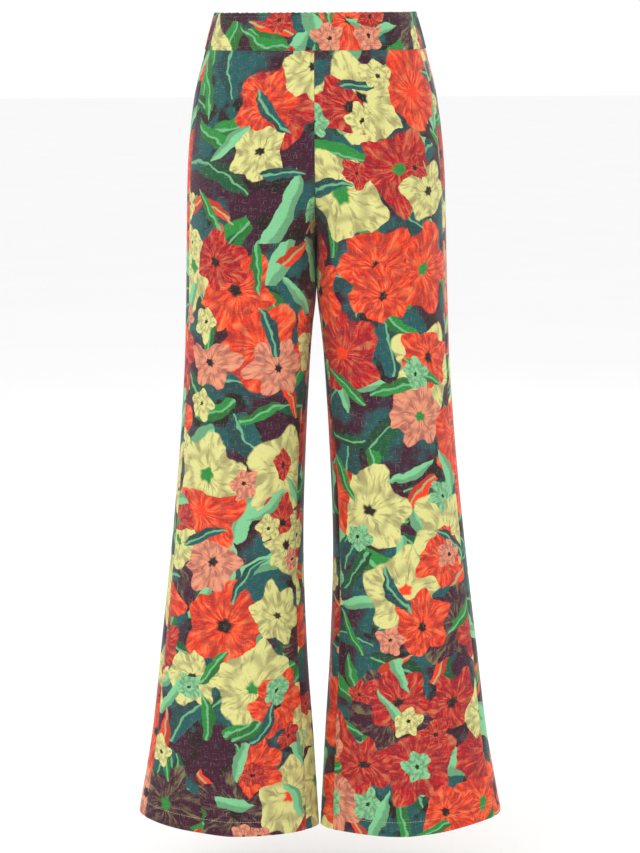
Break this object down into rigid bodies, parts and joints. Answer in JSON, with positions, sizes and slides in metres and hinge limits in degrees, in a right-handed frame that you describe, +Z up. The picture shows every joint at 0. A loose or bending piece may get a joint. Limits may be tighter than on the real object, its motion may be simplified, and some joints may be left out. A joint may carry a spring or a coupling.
{
  "type": "wide-leg pull-on trousers",
  "caption": "Hollow, worn-form wide-leg trousers with a flat front waistband, an elasticated gathered back and flared open hems.",
  "frame": {"origin": "centre of the waistband, halfway up it, where the wearer's waist holds the trousers", "axes": "+Z up, -Y is the front, +X is the wearer's left"},
  "size_m": [0.4864, 0.2435, 1.0823],
  "materials": {
    "leg_cloth": "smooth mid-weight woven, matte with a slight sheen, all-over printed flowers in red, orange, pink, cream, mint, teal and aubergine",
    "band_cloth": "the same printed woven, doubled, topstitched along both edges; elasticated and gathered at the back"
  },
  "bodies": {
    "root": {"front_panel_left": "leg_cloth", "back_panel_left": "leg_cloth", "front_panel_right": "leg_cloth", "back_panel_right": "leg_cloth", "waistband_front": "band_cloth", "waistband_back": "band_cloth"}
  },
  "joints": []
}
